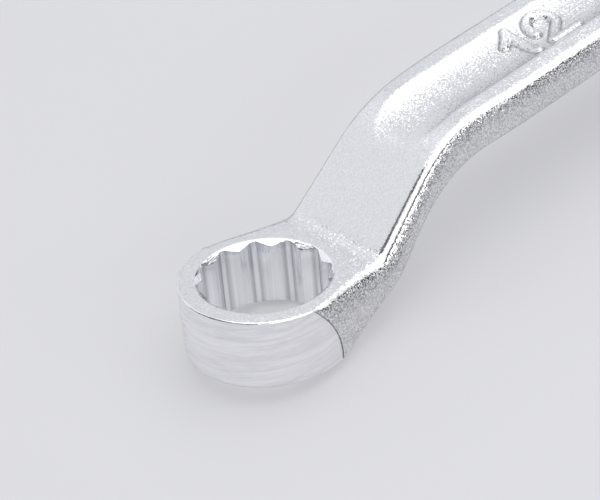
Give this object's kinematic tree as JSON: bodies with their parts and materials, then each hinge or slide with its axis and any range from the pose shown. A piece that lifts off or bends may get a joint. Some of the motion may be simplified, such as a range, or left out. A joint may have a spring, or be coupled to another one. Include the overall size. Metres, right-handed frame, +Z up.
{
  "type": "ring spanner",
  "caption": "Cranked ring spanner: a short ring with a bi-hexagon opening on a forged neck at each end of a flat, fluted handle that stands above the rings.",
  "frame": {"origin": "bottom centre of the whole spanner as it lies on both rings, handle raised", "axes": "+X along the handle from the 12 mm ring to the 13 mm ring, +Z up out of the rings' open faces"},
  "size_m": [0.22, 0.019, 0.0161],
  "materials": {
    "chrome_plated_steel": "satin"
  },
  "bodies": {
    "root": {"spanner_body": "chrome_plated_steel"}
  },
  "joints": []
}
